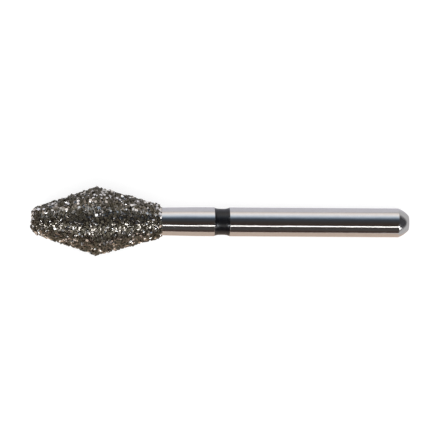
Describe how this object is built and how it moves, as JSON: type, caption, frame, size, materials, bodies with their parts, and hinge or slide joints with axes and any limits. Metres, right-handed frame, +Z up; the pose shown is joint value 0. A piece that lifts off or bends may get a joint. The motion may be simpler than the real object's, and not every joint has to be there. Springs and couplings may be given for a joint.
{
  "type": "dental bur",
  "caption": "Diamond-coated dental bur: blunt-tipped double-cone head, slim neck, plain friction-grip shank with a domed end and a black colour ring.",
  "frame": {"origin": "on the surface the bur lies on, under the middle of its length", "axes": "+X from the head towards the shank's end, +Y across, +Z up; the bur's own axis dips 3.8 degrees towards the shank's end, because the bur lies on the crown of its head and on the shank's end"},
  "size_m": [0.021, 0.0038, 0.0038],
  "materials": {
    "blank_steel": "stainless steel, centreless ground and polished, with fine marks round the shank",
    "diamond_and_nickel": "dark nickel plating crowded with sharp, glinting diamond crystals",
    "ring_enamel": "black baked enamel, glossy, sunk in the middle of its groove"
  },
  "bodies": {
    "root": {"bur_blank": "blank_steel", "diamond_coat": "diamond_and_nickel", "colour_ring": "ring_enamel"}
  },
  "joints": []
}
